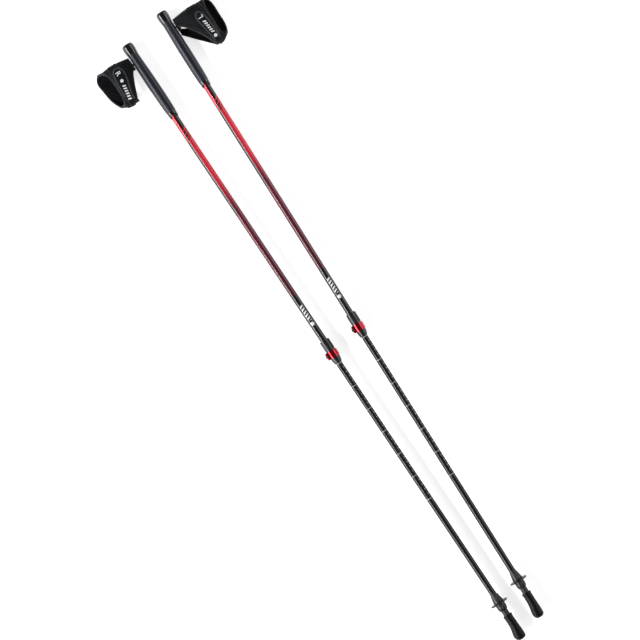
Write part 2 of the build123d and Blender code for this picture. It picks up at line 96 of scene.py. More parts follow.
# ---- mesh building ----
END_BULGE = 0.6  # a swept end's cap, as a share of its half thickness
SPLINE_STEPS = 24
STITCH_LENGTH = 2.3
STITCH_GAP = 1.0
STITCH_RINGS = 5
STITCH_SIDES = 6
STITCH_END = 0.12  # where a stitch's rings start, as an angle from its end
THREAD_R = 0.24
THREAD_TAPER = 0.45  # the radius at a stitch's ends, as a share of THREAD_R
THREAD_RISE = 1.3  # a stitch's arch and depth, also as shares of THREAD_R
THREAD_SINK = 0.55


def linked(name, data):
    thing = bpy.data.objects.new(name, data)
    bpy.context.scene.collection.objects.link(thing)
    return thing


def new_object(name, vertices, faces, uvs=None, material_of_face=None):
    """A smooth-shaded mesh object. uvs are in metres, one list of corner places for each face."""
    mesh = bpy.data.meshes.new(name)
    mesh.from_pydata([tuple(v) for v in vertices], [], faces)
    if uvs is not None:
        layer = mesh.uv_layers.new(name="Cloth")
        layer.data.foreach_set("uv", np.array(uvs, np.float32).ravel())
    if material_of_face is not None:
        mesh.polygons.foreach_set("material_index", np.array(material_of_face, np.int32))
    mesh.polygons.foreach_set("use_smooth", np.ones(len(faces), bool))
    mesh.update()
    mesh.validate()
    return linked(name, mesh)


def rectangle(left, right, low, high):
    return [(left, low), (right, low), (right, high), (left, high)]


def distances(path):
    """How far each point of a path is along it."""
    return np.concatenate([[0], np.cumsum(np.linalg.norm(np.diff(path, axis=0), axis=1))])


def shell(name, outer, inner, closed):
    """A smoothed skin over an outer and an inner grid of points, whose columns may close on
    themselves. Inner faces take the second material."""
    rows, columns = outer.shape[:2]
    points = np.concatenate([outer.reshape(-1, 3), inner.reshape(-1, 3)])
    step_v = np.linalg.norm(np.diff(outer, axis=0), axis=2).mean(axis=1)
    step_u = np.linalg.norm(np.diff(outer, axis=1), axis=2).mean(axis=0)
    v_at = np.concatenate([[0], np.cumsum(step_v)])
    u_at = np.concatenate([[0], np.cumsum(step_u), [0]])
    u_at[-1] = u_at[-2] + step_u.mean()
    half = rows * columns
    faces, uvs, materials = [], [], []

    def corner(i, j):
        return i * columns + j % columns

    def add(quad, places, material=0, flip=False):
        faces.append(quad[::-1] if flip else quad)
        uvs.extend(places[::-1] if flip else places)
        materials.append(material)

    across = columns if closed else columns - 1
    for i in range(rows - 1):
        for j in range(across):
            quad = [corner(i, j), corner(i, j + 1), corner(i + 1, j + 1), corner(i + 1, j)]
            places = rectangle(u_at[j], u_at[j + 1], v_at[i], v_at[i + 1])
            add(quad, places)
            add([half + c for c in quad], places, 1, True)
    edge = np.linalg.norm(outer[0, 0] - inner[0, 0])
    for i, flip in ((0, False), (rows - 1, True)):
        for j in range(across):
            quad = [corner(i, j), half + corner(i, j), half + corner(i, j + 1), corner(i, j + 1)]
            places = [(u_at[j], 0), (u_at[j], edge), (u_at[j + 1], edge), (u_at[j + 1], 0)]
            add(quad, places, 0, flip)
    if not closed:
        for j, flip in ((0, True), (columns - 1, False)):
            for i in range(rows - 1):
                quad = [corner(i, j), half + corner(i, j), half + corner(i + 1, j), corner(i + 1, j)]
                places = [(0, v_at[i]), (edge, v_at[i]), (edge, v_at[i + 1]), (0, v_at[i + 1])]
                add(quad, places, 0, flip)
    thing = fix_normals(new_object(name, points, faces, uvs, materials))
    modifier = thing.modifiers.new("Smooth", "SUBSURF")
    modifier.levels = modifier.render_levels = 1
    return thing


def fix_normals(thing):
    """Turns all faces outward."""
    bm = bmesh.new()
    bm.from_mesh(thing.data)
    bmesh.ops.recalc_face_normals(bm, faces=bm.faces)
    bm.to_mesh(thing.data)
    bm.free()
    return thing


def unit(vectors):
    length = np.linalg.norm(vectors, axis=-1, keepdims=True)
    return vectors / np.maximum(length, 1e-12)


def tangents(path, closed):
    if closed:
        return unit(np.roll(path, -1, axis=0) - np.roll(path, 1, axis=0))
    return unit(np.gradient(path, axis=0))


def swept(name, path, normals, section, closed):
    """A flattened tube along a path, its thickness along the normals."""
    half_width, half_thick, sides, roundness = section
    half_width, half_thick = half_width * MM, half_thick * MM
    path = np.asarray(path)
    along = tangents(path, closed)
    normals = unit(normals - along * np.sum(normals * along, axis=1, keepdims=True))
    across = np.cross(along, normals)
    angles = np.arange(sides) * 2 * np.pi / sides
    cos = np.sign(np.cos(angles)) * np.abs(np.cos(angles)) ** (2 / roundness)
    sin = np.sign(np.sin(angles)) * np.abs(np.sin(angles)) ** (2 / roundness)
    wide, high = (half_width * cos)[:, None], (half_thick * sin)[:, None]
    rings = path[:, None] + across[:, None] * wide + normals[:, None] * high
    count = len(path)
    vertices = list(rings.reshape(-1, 3))
    lengths = distances(path)
    lengths = np.append(lengths, lengths[-1] + np.linalg.norm(path[0] - path[-1]))
    girth = 2 * np.pi * max(half_width, half_thick) / sides
    faces, uvs = [], []
    for i in range(count if closed else count - 1):
        after = (i + 1) % count
        for j in range(sides):
            next_j = (j + 1) % sides
            faces.append([i * sides + j, i * sides + next_j, after * sides + next_j, after * sides + j])
            uvs += rectangle(j * girth, (j + 1) * girth, lengths[i], lengths[i + 1])
    if not closed:
        for i, sign in ((0, -1), (count - 1, 1)):
            vertices.append(path[i] + along[i] * sign * half_thick * END_BULGE)
            middle = len(vertices) - 1
            for j in range(sides):
                next_j = (j + 1) % sides
                pair = [i * sides + j, i * sides + next_j][::sign]
                faces.append([*pair, middle])
                uvs += [(0, lengths[i])] * 3
    return new_object(name, vertices, faces, uvs)


def spline(points, spacing):
    """Points at an even spacing on a smooth curve through the given ones."""
    points = np.asarray(points, float)
    count = len(points)
    dense = []
    for i in range(count - 1):
        p0, p1, p2, p3 = (points[min(max(i + k - 1, 0), count - 1)] for k in range(4))
        for t in np.arange(SPLINE_STEPS) / SPLINE_STEPS:
            dense.append(
                0.5 * (2 * p1 + (p2 - p0) * t + (2 * p0 - 5 * p1 + 4 * p2 - p3) * t * t
                       + (3 * p1 - p0 - 3 * p2 + p3) * t ** 3)
            )
    dense.append(points[-1])
    dense = np.array(dense)
    run = distances(dense)
    pieces = max(2, round(run[-1] / spacing))
    at = np.linspace(0, run[-1], pieces + 1)
    return np.stack([np.interp(at, run, dense[:, k]) for k in range(dense.shape[1])], axis=1)


def stitches(name, paths):
    """Rows of short thread capsules. Each path is a pair of points and normals, in metres."""
    rings, sides = STITCH_RINGS, STITCH_SIDES
    vertices, faces = [], []
    for path, normals in paths:
        run = distances(path)
        pitch = (STITCH_LENGTH + STITCH_GAP) * MM
        for start in np.arange(pitch / 2, run[-1] - pitch, pitch):
            at = start + np.linspace(0, STITCH_LENGTH * MM, rings)
            line = np.stack([np.interp(at, run, path[:, k]) for k in range(3)], axis=1)
            up = unit(np.stack([np.interp(at, run, normals[:, k]) for k in range(3)], axis=1))
            along = tangents(line, False)
            across = np.cross(along, up)
            bulge = np.sin(np.linspace(STITCH_END, np.pi - STITCH_END, rings))
            base = len(vertices)
            for i in range(rings):
                radius = THREAD_R * MM * (THREAD_TAPER + (1 - THREAD_TAPER) * bulge[i])
                lift = THREAD_R * MM * (THREAD_RISE * bulge[i] - THREAD_SINK)
                for angle in 2 * np.pi * np.arange(sides) / sides:
                    beside = across[i] * radius * np.cos(angle)
                    vertices.append(line[i] + up[i] * (lift + radius * np.sin(angle)) + beside)
            for i in range(rings - 1):
                for j in range(sides):
                    k = (j + 1) % sides
                    low, high = base + i * sides, base + (i + 1) * sides
                    faces.append([low + j, low + k, high + k, high + j])
            faces.append([base + j for j in reversed(range(sides))])
            faces.append([base + (rings - 1) * sides + j for j in range(sides)])
    return new_object(name, vertices, faces)


# ---- node materials ----
class Look:
    """A material with one Principled shader, and short calls for the nodes that feed it."""

    def __init__(self, name, pole=None):
        self.pole = pole
        self.material = bpy.data.materials.new(name)
        self.material.use_nodes = True
        self.tree = self.material.node_tree
        self.shader = self.tree.nodes["Principled BSDF"]

    def set(self, **values):
        for key, value in values.items():
            self.feed(self.shader.inputs[key.replace("_", " ")], value)

    def feed(self, socket, value):
        if isinstance(value, bpy.types.NodeSocket):
            self.tree.links.new(value, socket)
        else:
            socket.default_value = value

    def add(self, kind, inputs=None, **settings):
        node = self.tree.nodes.new("ShaderNode" + kind)
        for key, value in settings.items():
            setattr(node, key, value)
        for key, value in (inputs or {}).items():
            self.feed(node.inputs[key], value)
        return node

    def math(self, operation, *values):
        return self.add("Math", dict(enumerate(values)), operation=operation).outputs[0]

    def plus(self, first, second):
        return self.math("ADD", first, second)

    def minus(self, first, second):
        return self.math("SUBTRACT", first, second)

    def times(self, first, second):
        return self.math("MULTIPLY", first, second)

    def over(self, first, second):
        return self.math("DIVIDE", first, second)

    def fract(self, value):
        return self.math("FRACT", value)

    def reach(self, first, second):
        return self.math("SQRT", self.plus(self.times(first, first), self.times(second, second)))

    def stretched(self, vector, scale):
        return self.add("VectorMath", {0: vector, 1: scale}, operation="MULTIPLY").outputs[0]

    def millimetres(self, vector, **turn):
        """A vector's three parts in millimetres, and the scaled vector."""
        vector = self.add("Mapping", {"Vector": vector, "Scale": (1 / MM,) * 3, **turn}).outputs[0]
        return *self.add("SeparateXYZ", {0: vector}).outputs, vector

    def place(self):
        """Outputs x, y and station in the pole's frame, and the vector itself."""
        back = self.pole.matrix.inverted()
        turn = {"Location": back.translation / MM, "Rotation": back.to_euler("XYZ")}
        x, y, z, vector = self.millimetres(self.add("TexCoord").outputs["Object"], **turn)
        return x, y, self.times(z, -1.0), vector

    def cloth_place(self):
        """The cloth's own width and length, and the vector itself."""
        across, along, _, vector = self.millimetres(self.add("UVMap", uv_map="Cloth").outputs[0])
        return across, along, vector

    def noise(self, vector, scale, detail=3.0, roughness=0.55):
        inputs = {"Vector": vector, "Scale": scale, "Detail": detail, "Roughness": roughness}
        return self.add("TexNoise", inputs).outputs["Fac"]

    def cells(self, vector, scale):
        return self.add("TexVoronoi", {"Vector": vector, "Scale": scale}).outputs["Distance"]

    def ramp(self, value, low, high, to_low=0.0, to_high=1.0, smooth=True):
        inputs = {"Value": value, 1: low, 2: high, 3: to_low, 4: to_high}
        kind = "SMOOTHSTEP" if smooth else "LINEAR"
        return self.add("MapRange", inputs, interpolation_type=kind).outputs[0]

    def window(self, value, low, high, soft):
        """1 between low and high, and 0 outside."""
        rise = self.ramp(value, low - soft, low + soft)
        fall = self.ramp(value, high - soft, high + soft, 1.0, 0.0)
        return self.times(rise, fall)

    def mix(self, share, first, second):
        """A blend of two colours, each another node's or three numbers."""
        first, second = ((*c, 1.0) if isinstance(c, tuple) else c for c in (first, second))
        return self.add("Mix", {"Factor": share, 6: first, 7: second}, data_type="RGBA").outputs[2]

    def to_line(self, station, first, step):
        """How far a station is from the nearest of the lines at first, first + step and so on."""
        turns = self.over(self.minus(station, first), step)
        offset = self.minus(self.fract(self.plus(turns, 0.5)), 0.5)
        return self.times(self.math("ABSOLUTE", offset), step)

    def finish(self, colour, roughness, height, depth, strength, normal="Normal"):
        """The material, its shader fed with a bump that is depth millimetres deep."""
        bump = self.add("Bump", {"Height": height, "Distance": depth * MM, "Strength": strength})
        self.set(Base_Color=colour, Roughness=roughness, **{normal: bump.outputs[0]})
        return self.material


def grey(level):
    return (level,) * 3


def shades(colour, dark, light):
    """A colour made darker, and made lighter."""
    return tuple(c * dark for c in colour), tuple(min(1.0, c * light) for c in colour)


def plastic(look, colour, rough, grain, grain_depth, coat=0.0):
    """Moulded plastic: a fine grain, flow variation in the gloss, and faint handling marks."""
    look.set(Coat_Weight=coat, Coat_Roughness=0.12, Specular_IOR_Level=0.5)
    vector = look.place()[3]
    cloud = look.noise(vector, 0.12, 4.0)
    scuff = look.ramp(look.noise(vector, 0.9, 6.0, 0.7), 0.58, 0.75)
    tone = look.mix(cloud, *shades(colour, 0.75, 1.3))
    roughness = look.plus(look.ramp(cloud, 0.3, 0.7, rough - 0.04, rough + 0.05), look.times(scuff, 0.10))
    height = look.noise(vector, grain, 2.0)
    return look.finish(tone, roughness, height, grain_depth, 0.6)


def grip_soft(look):
    """Soft compound: a pebbled skin, a little polished where the palm holds it."""
    look.set(Specular_IOR_Level=0.6, Specular_Tint=(0.86, 0.90, 1.0, 1.0), Sheen_Weight=0.05,
             Sheen_Roughness=0.45)
    station, vector = look.place()[2:]
    pebble = look.cells(vector, 1.15)
    fine = look.noise(vector, 2.6, 3.0, 0.6)
    cloud = look.noise(vector, 0.09, 3.0)
    palm = look.window(station, 60.0, 125.0, 25.0)
    tone = look.mix(cloud, (0.011, 0.012, 0.019), (0.021, 0.023, 0.034))
    # painted shade: the hollows between the pebbles, where the bump sinks, are coloured darker
    tone = look.mix(look.ramp(pebble, 0.25, 0.6), tone, (0.005, 0.005, 0.008))
    rough = look.minus(look.ramp(fine, 0.3, 0.7, 0.36, 0.48), look.times(palm, 0.06))
    height = look.plus(look.times(pebble, -1.0), look.times(fine, 0.35))
    return look.finish(tone, rough, height, 0.16, 0.55)


def shaft_print(look):
    """Lacquer print under a clear coat: red that darkens into a wine halftone, then black."""
    look.set(Coat_Weight=0.8, Coat_Roughness=0.06, Specular_IOR_Level=0.3)
    x, y, station, vector = look.place()
    around = look.math("ARCTAN2", x, look.times(y, -1.0))
    turn = look.math("DEGREES", around)
    black, red, wine = (0.004, 0.004, 0.006), (0.66, 0.012, 0.030), (0.060, 0.003, 0.011)
    flake = look.noise(vector, 3.5, 2.0)
    red_tone = look.mix(look.ramp(flake, 0.35, 0.65), red, (0.76, 0.020, 0.045))
    # halftone: rows of dots round the tube, whose size shrinks down the fade
    arc = look.times(around, 7.0)
    cell_s = look.over(station, 1.6)
    cell_a = look.over(arc, 1.571)
    shifted = look.plus(cell_a, look.times(look.math("FLOOR", cell_s), 0.5))
    across = look.minus(look.fract(shifted), 0.5)
    along = look.minus(look.fract(cell_s), 0.5)
    radius = look.ramp(station, 330.0, 560.0, 0.62, 0.16, smooth=False)
    dot = look.ramp(look.minus(look.reach(across, along), radius), -0.05, 0.05, 1.0, 0.0)
    under = look.mix(look.ramp(station, 300.0, 352.0), red_tone, wine)
    dot_tone = look.mix(look.ramp(station, 290.0, 370.0), red_tone, (0.15, 0.008, 0.024))
    fade = look.mix(dot, under, dot_tone)
    # the left side is black from the hatch down to where the fade wraps round
    edge = look.plus(-24.0, look.times(look.ramp(station, 372.0, 400.0), -200.0))
    right_side = look.ramp(look.minus(turn, edge), -2.0, 2.0)
    body = look.mix(right_side, black, fade)
    # above the hatch, red runs down the left side only, and tapers to a point
    taper = look.ramp(station, 188.0, 216.0, -12.0, -60.0, smooth=False)
    left_red = look.ramp(look.minus(turn, taper), -2.0, 2.0, 1.0, 0.0)
    left_end = look.ramp(turn, -150.0, -146.0)
    top = look.mix(look.times(left_red, left_end), black, red_tone)
    slant = look.plus(station, look.times(turn, 0.085))
    stripe = look.ramp(look.fract(look.over(slant, 7.4)), 0.47, 0.53)
    hatch = look.window(slant, 187.0, 209.0, 0.4)
    marks = look.times(look.times(hatch, stripe), look.ramp(turn, -14.0, -10.0))
    top = look.mix(marks, top, red_tone)
    colour = look.mix(look.ramp(slant, 209.0, 209.8), top, body)
    # black again below the fade, with a plain dot and slanted bars in white
    colour = look.mix(look.ramp(station, 556.0, 557.5), colour, black)
    bars = look.fract(look.over(look.plus(station, look.times(x, 0.45)), 6.2))
    bar = look.times(look.window(bars, 0.2, 0.72, 0.03), look.window(station, 577.0, 609.5, 0.3))
    bar = look.times(bar, look.window(x, -3.1, 3.1, 0.2))
    round_mark = look.ramp(look.reach(x, look.minus(station, 617.0)), 3.5, 3.8, 1.0, 0.0)
    white = look.times(look.math("MAXIMUM", bar, round_mark), look.ramp(y, -0.5, 0.5, 1.0, 0.0))
    wear = look.ramp(look.noise(vector, 1.4, 5.0, 0.7), 0.66, 0.72, 1.0, 0.55)
    colour = look.mix(look.times(white, wear), colour, grey(0.90))
    rough = look.ramp(look.noise(vector, 0.5, 4.0), 0.3, 0.7, 0.22, 0.34)
    ripple = look.noise(vector, 0.35, 2.0)
    return look.finish(colour, rough, ripple, 0.05, 0.4, "Coat Normal")


FIRST_RING, LAST_RING = 704.4, 1003.4
RING_STEP = 49.8


def shaft_scale(look):
    """Black lacquer with a pale ring every 50 mm and a short tick every 10 mm."""
    look.set(Coat_Weight=0.4, Coat_Roughness=0.08, Specular_IOR_Level=0.25)
    x, y, station, vector = look.place()
    turn = look.math("DEGREES", look.math("ARCTAN2", x, look.times(y, -1.0)))
    ring = look.ramp(look.to_line(station, FIRST_RING, RING_STEP), 0.45, 0.65, 1.0, 0.0)
    tick = look.ramp(look.to_line(station, FIRST_RING, RING_STEP / 5), 0.55, 0.75, 1.0, 0.0)
    tick = look.times(tick, look.window(turn, 22.0, 62.0, 1.5))
    scale = look.window(station, FIRST_RING - 2, LAST_RING + 2, 0.5)
    marks = look.times(look.math("MAXIMUM", ring, tick), scale)
    wear = look.ramp(look.noise(vector, 1.1, 6.0, 0.75), 0.55, 0.68, 1.0, 0.35)
    marks = look.times(marks, wear)
    cloud = look.noise(vector, 0.2, 4.0)
    black = look.mix(cloud, (0.003, 0.003, 0.004), (0.007, 0.007, 0.008))
    colour = look.mix(marks, black, grey(0.40))
    slide = look.noise(look.stretched(vector, (1.0, 1.0, 0.03)), 3.0, 4.0, 0.7)
    rough = look.ramp(slide, 0.35, 0.7, 0.24, 0.42)
    return look.finish(colour, rough, slide, 0.02, 0.35)


def anodised(look, colour):
    """Anodised aluminium with a fine turned grain and brighter, worn high spots."""
    look.set(Metallic=1.0, Coat_Weight=0.6, Coat_Roughness=0.14)
    vector = look.place()[3]
    grain = look.noise(look.stretched(vector, (0.25, 0.25, 6.0)), 1.6, 3.0)
    cloud = look.noise(vector, 0.3, 4.0)
    tone = look.mix(cloud, *shades(colour, 0.8, 1.25))
    rough = look.ramp(grain, 0.3, 0.7, 0.20, 0.34)
    return look.finish(tone, rough, grain, 0.02, 0.5)


def steel(look, tone_low, tone_high):
    look.set(Metallic=1.0)
    vector = look.place()[3]
    line = look.noise(look.stretched(vector, (1.0, 6.0, 1.0)), 2.2, 3.0)
    stain = look.noise(vector, 0.5, 5.0, 0.65)
    tone = look.mix(stain, grey(tone_low), grey(tone_high))
    return look.finish(tone, look.ramp(line, 0.3, 0.7, 0.22, 0.42), line, 0.015, 0.5)


def boot_rubber(look):
    """Matte rubber with a moulded stipple and dusty, scuffed high spots near the sole."""
    look.set(Specular_IOR_Level=0.2)
    station, vector = look.place()[2:]
    stipple = look.cells(vector, 1.3)
    cloud = look.noise(vector, 0.25, 5.0, 0.6)
    tone = look.mix(cloud, (0.0015, 0.0015, 0.002), (0.004, 0.004, 0.0045))
    scuff = look.ramp(look.noise(vector, 0.7, 6.0, 0.7), 0.5, 0.72)
    dust = look.times(look.ramp(station, 1292.0, 1312.0), scuff)
    tone = look.mix(look.times(dust, 0.5), tone, (0.045, 0.042, 0.038))
    height = look.plus(stipple, look.noise(vector, 2.5, 3.0))
    rough = look.ramp(cloud, 0.3, 0.7, 0.36, 0.48)
    return look.finish(tone, rough, height, 0.14, 0.5)


def knit(look, dark, light, pitch=0.9, depth=0.16):
    """A fine warp knit: columns of small V loops over foam."""
    look.set(Specular_IOR_Level=0.2, Sheen_Weight=0.06, Sheen_Roughness=0.4)
    across, along, vector = look.cloth_place()
    column = look.over(across, pitch)
    fold = look.math("ABSOLUTE", look.minus(look.fract(column), 0.5))
    chevron = look.plus(look.over(along, pitch * 0.8), look.times(fold, 1.1))
    loops = look.math("SINE", look.times(chevron, 2 * math.pi))
    ribs = look.ramp(fold, 0.0, 0.5, 0.0, 1.0)
    height = look.times(look.plus(look.times(loops, 0.5), 0.5), ribs)
    cloud = look.noise(vector, 0.07, 4.0)
    fuzz = look.noise(vector, 2.4, 4.0, 0.7)
    # painted shade: the colour follows the loops' height, dark in the hollows between them and lighter on their
    # tops; the cloud varies the tops at random
    tone = look.mix(look.times(height, look.ramp(cloud, 0.3, 0.7, 0.6, 1.0)), dark, light)
    rough = look.ramp(fuzz, 0.3, 0.7, 0.66, 0.86)
    total = look.plus(height, look.times(fuzz, 0.4))
    return look.finish(tone, rough, total, depth, 0.8)


def spacer_mesh(look):
    """The cuff's lining: a spacer mesh with rows of small round holes."""
    look.set(Specular_IOR_Level=0.12, Sheen_Weight=0.02, Sheen_Roughness=0.5)
    across, along, vector = look.cloth_place()
    row = look.over(along, 2.0)
    column = look.plus(look.over(across, 2.3), look.times(look.math("FLOOR", row), 0.5))
    reach = look.reach(look.minus(look.fract(column), 0.5), look.minus(look.fract(row), 0.5))
    hole = look.ramp(reach, 0.20, 0.32, 1.0, 0.0)
    fuzz = look.noise(vector, 2.0, 4.0, 0.7)
    tone = look.mix(fuzz, (0.003, 0.003, 0.004), (0.008, 0.008, 0.010))
    # painted shade: the holes are coloured near black, as the shade inside them
    tone = look.mix(hole, tone, grey(0.001))
    height = look.minus(look.times(fuzz, 0.3), hole)
    return look.finish(tone, look.ramp(fuzz, 0.3, 0.7, 0.75, 0.92), height, 0.35, 0.8)


def tape(look, dark, light, rib=0.55, depth=0.12):
    """Woven edge tape: fine ribs across its length."""
    look.set(Specular_IOR_Level=0.3, Sheen_Weight=0.1, Sheen_Roughness=0.35)
    across, along, vector = look.cloth_place()
    ribs = look.math("ABSOLUTE", look.math("SINE", look.times(along, math.pi / rib)))
    threads = look.math("ABSOLUTE", look.math("SINE", look.times(across, math.pi / (rib * 0.8))))
    height = look.times(ribs, look.plus(0.6, look.times(threads, 0.4)))
    fuzz = look.noise(vector, 1.8, 4.0, 0.7)
    # painted shade: the colour follows the ribs' height, dark between the ribs and lighter on them, with a random
    # fuzz
    tone = look.mix(look.times(height, fuzz), dark, light)
    return look.finish(tone, look.ramp(fuzz, 0.3, 0.7, 0.55, 0.8), height, depth, 0.8)


def rubber_print(look):
    look.set(Specular_IOR_Level=0.4)
    vector = look.place()[3]
    wear = look.noise(vector, 0.8, 5.0, 0.7)
    tone = look.mix(look.ramp(wear, 0.3, 0.7), grey(0.70), grey(0.88))
    return look.finish(tone, look.ramp(wear, 0.3, 0.7, 0.45, 0.6), look.noise(vector, 3.0), 0.05, 0.4)


def hook_pile(look):
    """Hook-and-loop pile: a dense fuzz of small loops."""
    look.set(Specular_IOR_Level=0.2, Sheen_Weight=0.6, Sheen_Roughness=0.5)
    vector = look.cloth_place()[2]
    loops = look.cells(vector, 1.6)
    fuzz = look.noise(vector, 4.0, 4.0, 0.75)
    # painted shade: the colour follows the loops' height, dark between the loops and lighter on them, with a
    # random fuzz
    tone = look.mix(look.times(loops, fuzz), (0.006, 0.006, 0.007), (0.05, 0.05, 0.055))
    height = look.plus(loops, fuzz)
    return look.finish(tone, 0.9, height, 0.4, 0.9)


# ---- straps ----
SHELL_THICK = 3.0  # knit over foam
PANEL_THICK = 1.2  # the outer panels
PANEL_LIFT = 0.15  # the panel's underside above the cuff's skin
WEB_START = 11.3  # how far out the webs begin, lapped over the plug's two faces
WEB_HEIGHT = 4.3  # their undersides there, either side of the pole's middle
PANEL_LAP = 1.0  # how far past the cuff's inner rim the panels touch down
LEAST_REACH = 2.0  # and how far they lie on it at least
WEB_ROWS, LIE_ROWS = 20, 10
WEB_TURN = 1.15  # a web's rise levels off towards the cuff
FABRIC_GRID = 1.6  # spacing of the fabric grids
CUFF_DEPTH = 46.0  # the cuff's greatest width, which sets its rows
LOOP_FLATNESS = 2.7  # 2 would be an ellipse
LOOP_STEPS = 721
NORMAL_STEP = 0.004
RIM_PLACES = np.array([0, 0.14, 0.25, 0.36, 0.5, 0.64, 0.75, 0.86, 1.0])
SLACK, SLACK_WIDTH = 1.5, 0.11  # how far the top sags in, and its share of the girth
FOLDS = ((0.55, 3, 6.5, 0.0), (0.35, 7, -4.3, 1.3))  # depth, waves round, length out, phase
SMALL_FOLDS = (0.2, 15, 2.6, 0.7)
END_FOLDS, END_WIDTH = 0.8, 0.07  # folds deepen at the loop's two ends
RIM_STEPS = 220
RIM_INSET = 0.8
# sections of tapes and cords: half the width and thickness, sides, and roundness, 2 for an ellipse
RIM_TAPE = (1.9, 2.15, 14, 3.4)
EDGE_TAPE = (1.3, 1.0, 12, 3.0)
SEAM_CORD = (0.55, 0.5, 8, 2.0)
SEAM_STEP = 1.5
SEAM_SINK = 0.1
STITCH_ASIDE = 1.4  # stitch rows lie this far from the seam
WRIST_STITCH = 3.6  # and from the wrist's rim
TAB_GRID = (26, 14)
TAB_LIFT, TAB_TOP = 0.1, 1.7
LETTER_SIZE = 13.0
LETTER_BOLD = 0.012
DOT_R = 3.2
DOT_GRID = (4, 32)
BAR = (2.6, 6.0, 0.28)  # width, height and slant
BAR_GRID = (3, 6)
BAR_COUNT = 6
PRINT_THICK, PRINT_SUNK = 0.28, 0.12
DROP_FROM = 70.0  # plumb lines start this high, and a miss looks near the second height
DROP_MISS = 18.0

# stations and heights limit the cuff's outer skin. wrist_edge and finger_edge are how far out its
# two rims lie, at eight places round the loop: top, top head side, head end, bottom head side,
# bottom, bottom tip side, tip end, top tip side. Panels start at the plug, over near stations, and
# lie on the loop between two places, given as shares of its girth from the top towards the head.
# Beyond the first number of taper, the tip end draws in by the second times the square of the rest.
# A cut is the flat width, length and area before sewing, in metres.
STRAPS = {
    "right": {
        "stations": (17.8, 101.0),
        "heights": (-9.7, 21.2),
        "taper": (50.0, 0.020),
        "wrist_edge": (58.5, 60.5, 73.0, 83.5, 83.0, 79.5, 70.0, 60.0),
        "finger_edge": (44.0, 40.0, 38.0, 38.0, 40.0, 39.0, 37.5, 41.0),
        "front": {"near": (24.5, 41.0), "loop": (0.205, -0.215), "reach": (53.0, 56.2), "bow": 7.0,
                  "cut": (0.086, 0.048, 0.0028)},
        "back": {"near": (28.5, 41.5), "loop": (0.385, 0.605), "reach": (44.0, 62.0), "bow": 4.0,
                 "cut": (0.046, 0.050, 0.0014)},
        "tab": {"out": (45.0, 62.0), "loop": (0.66, 0.83), "cut": (0.034, 0.017)},
        "seam": ((57.0, 93.0), (54.3, 74.0), (53.6, 55.0), (50.0, 36.0), (45.0, 28.8), (37.0, 28.8),
                 (31.5, 37.0), (32.5, 52.0), (38.5, 74.0), (42.5, 93.0)),
        "letter": {"text": "R", "at": (41.5, 39.0), "reads": 1},
        "dot": (43.2, 53.5),
        "bars": (61.0, 91.0, 44.4, 49.4),
    },
    "left": {
        "stations": (19.5, 107.0),
        "heights": (-9.7, 19.2),
        "taper": (60.0, 0.013),
        "wrist_edge": (75.0, 75.5, 82.0, 89.0, 89.8, 89.2, 82.0, 75.0),
        "finger_edge": (50.0, 45.0, 44.0, 44.0, 47.0, 51.0, 58.0, 56.0),
        "front": {"near": (25.0, 39.0), "loop": (0.205, -0.215), "reach": (68.0, 73.0), "bow": 11.0,
                  "cut": (0.088, 0.063, 0.0039)},
        "back": {"near": (43.5, 54.5), "loop": (0.49, 0.70), "reach": (56.0, 72.0), "bow": 0.0,
                 "cut": (0.054, 0.058, 0.0021)},
        "tab": {"out": (62.0, 81.5), "loop": (0.66, 0.83), "cut": (0.034, 0.0195)},
        "seam": ((69.5, 98.0), (68.5, 76.0), (66.0, 52.0), (60.5, 39.0), (53.5, 38.5), (49.5, 48.0),
                 (53.0, 68.0), (58.5, 98.0)),
        "letter": {"text": "L", "at": (57.6, 48.0), "reads": -1},
        "dot": (63.3, 91.5),
        "bars": (57.0, 85.0, 59.2, 62.8),
    },
}


